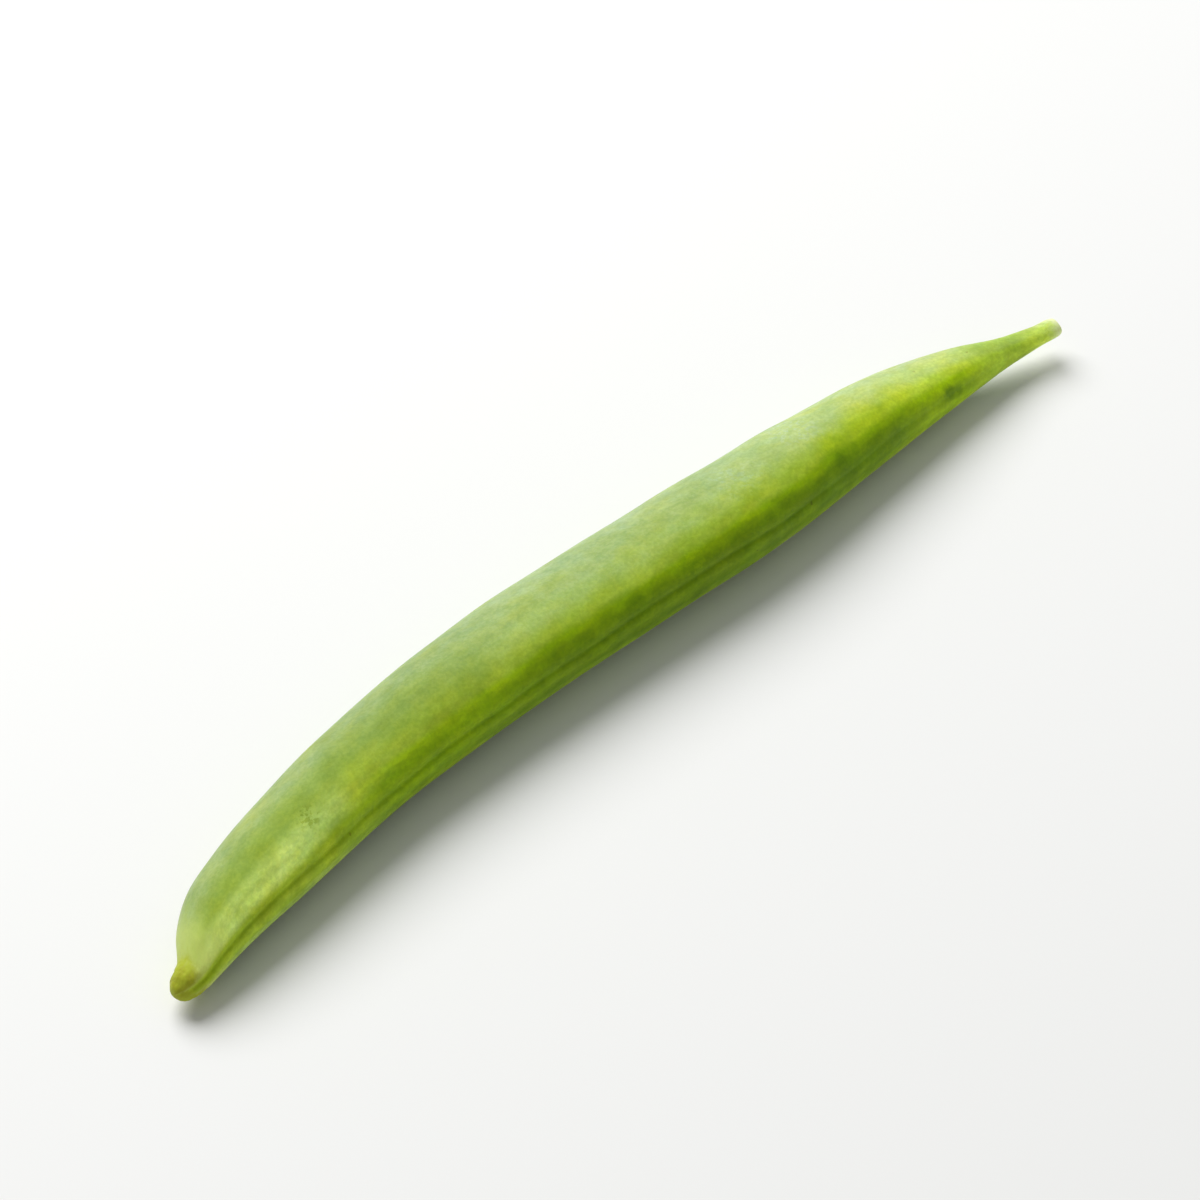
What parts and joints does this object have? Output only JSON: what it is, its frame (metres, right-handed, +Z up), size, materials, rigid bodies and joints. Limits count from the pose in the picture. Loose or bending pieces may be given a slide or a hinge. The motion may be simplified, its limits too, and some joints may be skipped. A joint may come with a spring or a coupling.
{
  "type": "green bean",
  "caption": "Slender bowed bean pod lying on its flank, with a grooved suture along its ventral edge, a short broken beak stub and a tapering stem end.",
  "frame": {"origin": "bottom centre of the pod's box, on the surface that the pod lies on", "axes": "+X along the pod from the blossom end to the stem end, +Y to the bowed dorsal side, +Z up across the pod's flanks"},
  "size_m": [0.135, 0.016, 0.011],
  "materials": {
    "skin": null
  },
  "bodies": {
    "root": {"pod": "skin"}
  },
  "joints": []
}
